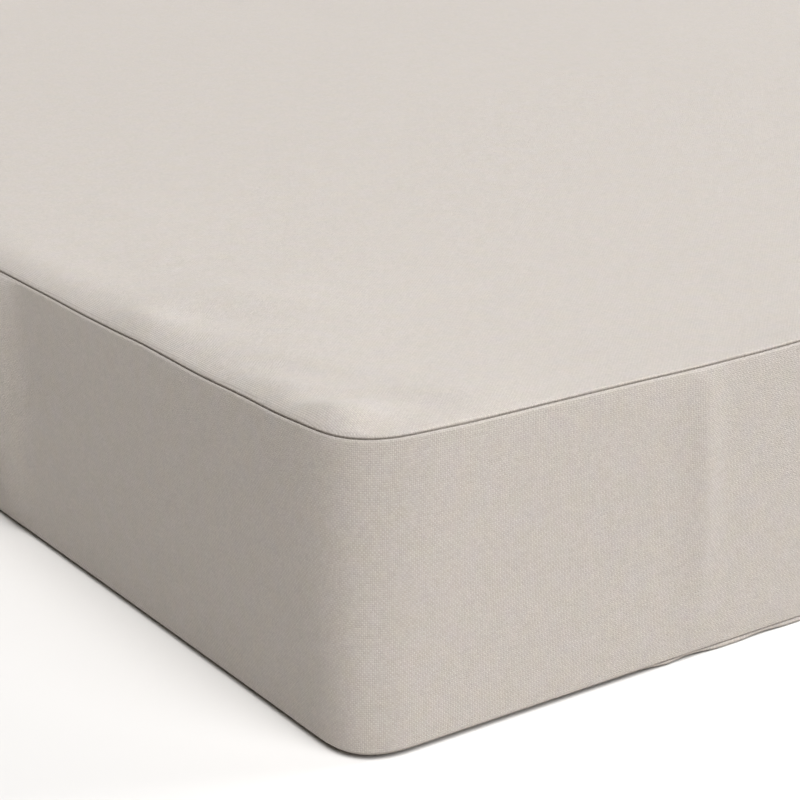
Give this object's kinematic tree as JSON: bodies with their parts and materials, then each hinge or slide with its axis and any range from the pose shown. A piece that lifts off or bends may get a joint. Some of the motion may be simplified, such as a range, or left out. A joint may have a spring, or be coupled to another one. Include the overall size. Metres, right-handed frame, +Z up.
{
  "type": "back cushion",
  "caption": "Rectangular box-edged cushion in plain woven cloth, lying flat, with a low crown, slightly drawn-in sides and a sewn seam round each face.",
  "frame": {"origin": "on the resting surface, under the middle of the cushion's bounding box", "axes": "+X along the longer side, +Y along the shorter side, +Z up out of the large upper face"},
  "size_m": [0.8032, 0.6432, 0.0922],
  "materials": {
    "cloth": "plain-woven canvas, matt, warm beige-grey"
  },
  "bodies": {
    "root": {"cushion": "cloth"}
  },
  "joints": []
}
